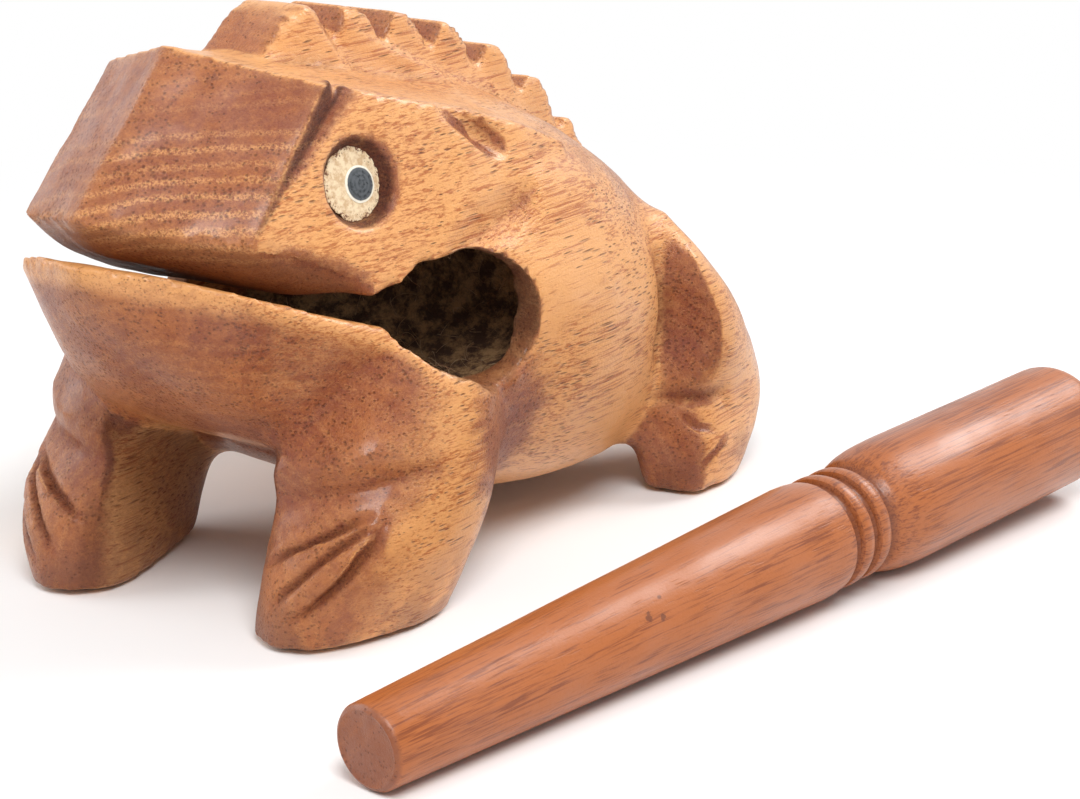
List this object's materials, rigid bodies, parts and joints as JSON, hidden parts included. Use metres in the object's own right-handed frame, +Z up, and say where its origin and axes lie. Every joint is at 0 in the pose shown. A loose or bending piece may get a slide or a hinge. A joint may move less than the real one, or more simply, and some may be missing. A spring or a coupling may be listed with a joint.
{
  "type": "frog guiro",
  "caption": "Carved wooden frog guiro, hollow and open at the mouth, with a notched rasp crest along its back and a turned wooden scraper stick",
  "frame": {"origin": "centre of the floor rectangle of the frog and its stick together, at floor height", "axes": "+Z up; the frog looks along -Y with its left side at +X; the stick lies beside it at +X, roughly along +Y"},
  "size_m": [0.1432, 0.162, 0.0882],
  "materials": {
    "carved_wood": "satin varnish on carved wood",
    "turned_wood": "satin varnish on turned wood"
  },
  "bodies": {
    "root": {"frog_body": "carved_wood", "scraper_stick": "turned_wood"}
  },
  "joints": []
}
